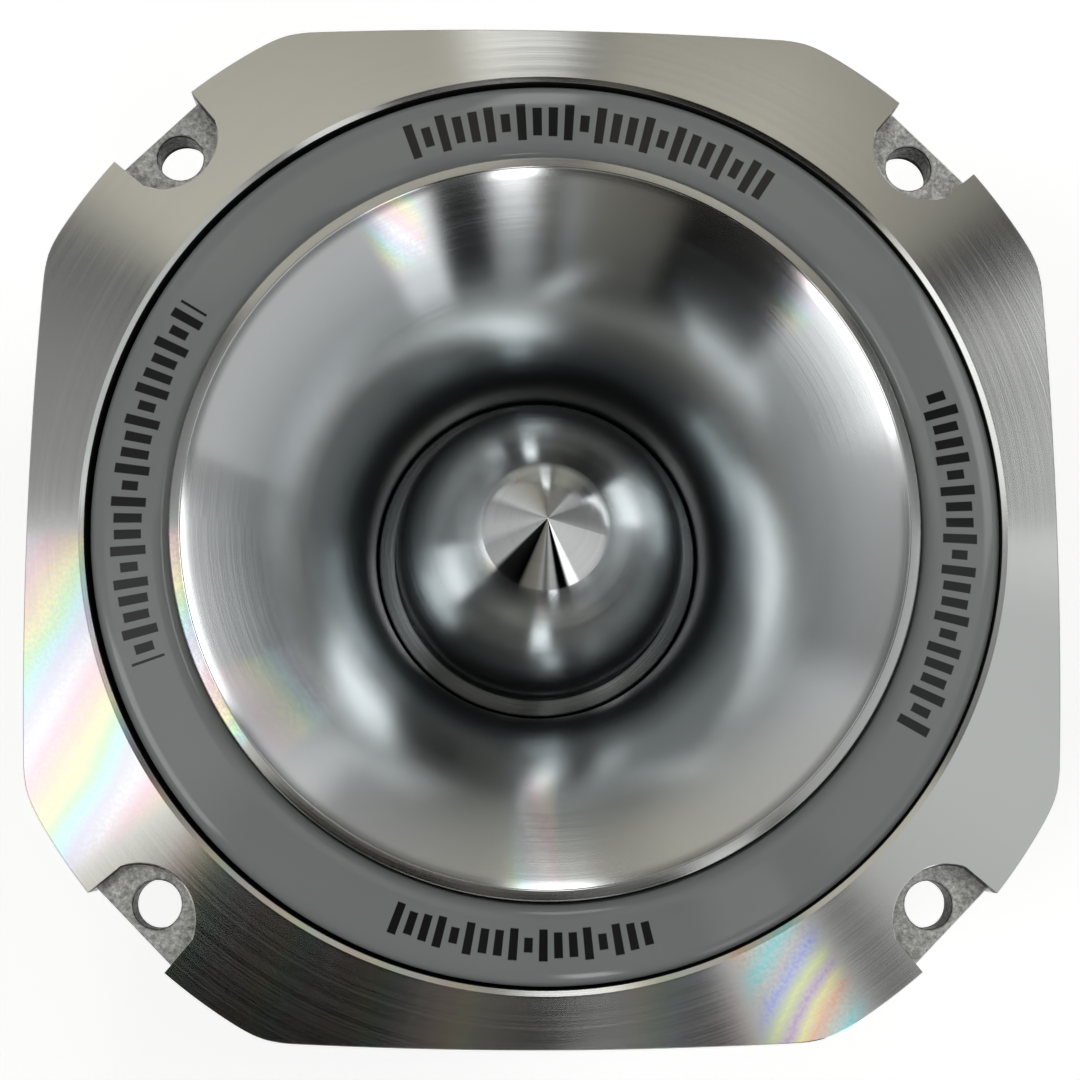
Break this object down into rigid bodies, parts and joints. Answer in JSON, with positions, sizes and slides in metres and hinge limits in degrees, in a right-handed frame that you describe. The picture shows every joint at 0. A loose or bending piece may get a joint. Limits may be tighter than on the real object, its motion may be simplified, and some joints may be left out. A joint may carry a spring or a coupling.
{
  "type": "bullet super tweeter",
  "caption": "Square-flanged bullet super tweeter with a turned metal horn, central phase plug, ring magnet motor and push terminals.",
  "frame": {"origin": "centre of the motor's flat rear face, which is also the centre of the object's base", "axes": "+Z along the horn's axis, the way the sound leaves; the terminals are on the -Y side; +X has the red terminal"},
  "size_m": [0.0984, 0.0984, 0.0612],
  "materials": {
    "turned_aluminium": "fine concentric turning marks, bare metal",
    "polished_aluminium": "polished bare metal",
    "decal_grey": "smooth grey print",
    "clear_resin": "clear, domed, high gloss",
    "zinc_steel": "bright zinc plate",
    "black_steel": "black oxide",
    "ferrite": "ground ferrite ceramic",
    "titanium": "thin formed foil",
    "copper": "enamelled wire winding",
    "polyimide": "amber film",
    "brass": "stamped strip",
    "black_plastic": "moulded, fine grain",
    "red_plastic": "moulded",
    "button_black": "moulded",
    "fibre": "pressed fibre sheet",
    "foam": "closed-cell foam",
    "spring_steel": "drawn wire"
  },
  "bodies": {
    "root": {"horn_frame": "turned_aluminium", "decal_base_ring": "decal_grey", "decal_resin_ring": "clear_resin", "bullet": "polished_aluminium", "mounting_gasket": "foam", "horn_gasket": "fibre", "diaphragm_clamp_outer": "black_plastic", "diaphragm_clamp_inner": "black_plastic", "top_plate": "zinc_steel", "magnet": "ferrite", "back_plate": "zinc_steel", "pole_piece": "black_steel", "bullet_bolt": "black_steel", "bullet_washer": "zinc_steel", "horn_screw_1": "black_steel", "horn_screw_2": "black_steel", "horn_screw_3": "black_steel", "horn_screw_4": "black_steel", "terminal_block": "black_plastic", "button_spring_red": "spring_steel", "button_spring_black": "spring_steel", "contact_red": "brass", "contact_black": "brass", "terminal_screw_1": "zinc_steel", "terminal_screw_2": "zinc_steel", "lead_wire_red": "red_plastic", "lead_wire_black": "button_black", "locating_pin_1": "zinc_steel", "locating_pin_2": "zinc_steel"},
    "moving_coil": {"diaphragm": "titanium", "voice_coil_former": "polyimide", "voice_coil_winding": "copper"},
    "red_post": {"terminal_button_red": "red_plastic"},
    "black_post": {"terminal_button_black": "button_black"}
  },
  "joints": [
    {"name": "coil_travel", "type": "slide", "parent": "root", "child": "moving_coil", "axis": [0, 0, 1], "range_m": [-0.00025, 0.00025], "stiffness_N_per_m": 1500},
    {"name": "red_post_press", "type": "slide", "parent": "root", "child": "red_post", "axis": [0, 0, 1], "range_m": [0, 0.0025], "stiffness_N_per_m": 300, "springref_m": -0.001, "deforming": ["button_spring_red"]},
    {"name": "black_post_press", "type": "slide", "parent": "root", "child": "black_post", "axis": [0, 0, 1], "range_m": [0, 0.0025], "stiffness_N_per_m": 300, "springref_m": -0.001, "deforming": ["button_spring_black"]}
  ]
}
